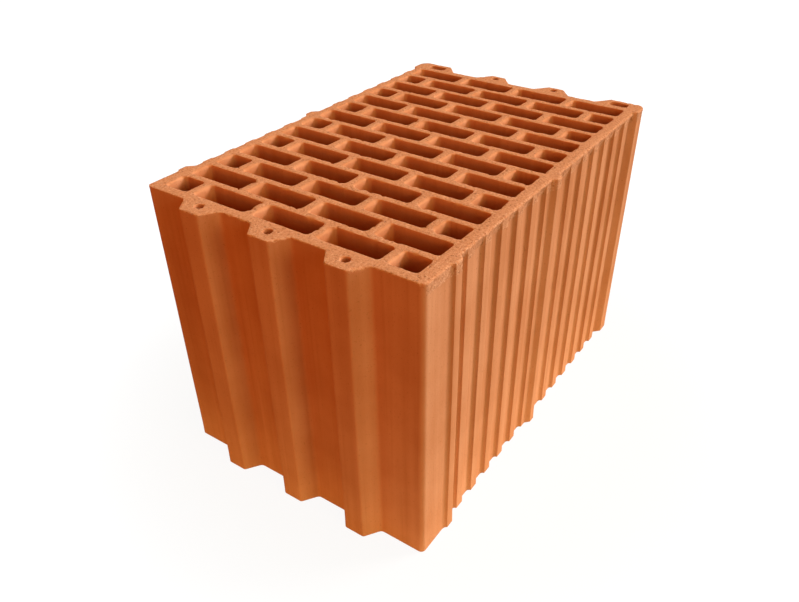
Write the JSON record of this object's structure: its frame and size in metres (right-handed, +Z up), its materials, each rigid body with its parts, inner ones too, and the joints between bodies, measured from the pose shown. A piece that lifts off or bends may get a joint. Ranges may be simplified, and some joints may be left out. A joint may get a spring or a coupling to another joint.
{
  "type": "hollow clay block",
  "caption": "Fired hollow clay wall block with staggered vertical slots, tongue-and-groove ends and fluted plaster faces.",
  "frame": {"origin": "middle of the outer box, on the lower bed face", "axes": "+X along the block from the tongue end to the groove end, +Y across it, +Z up the extrusion to the upper bed face"},
  "size_m": [0.388, 0.25, 0.249],
  "materials": {
    "fired_clay": "matte, unglazed, extruded and wire-cut"
  },
  "bodies": {
    "root": {"clay_block": "fired_clay"}
  },
  "joints": []
}
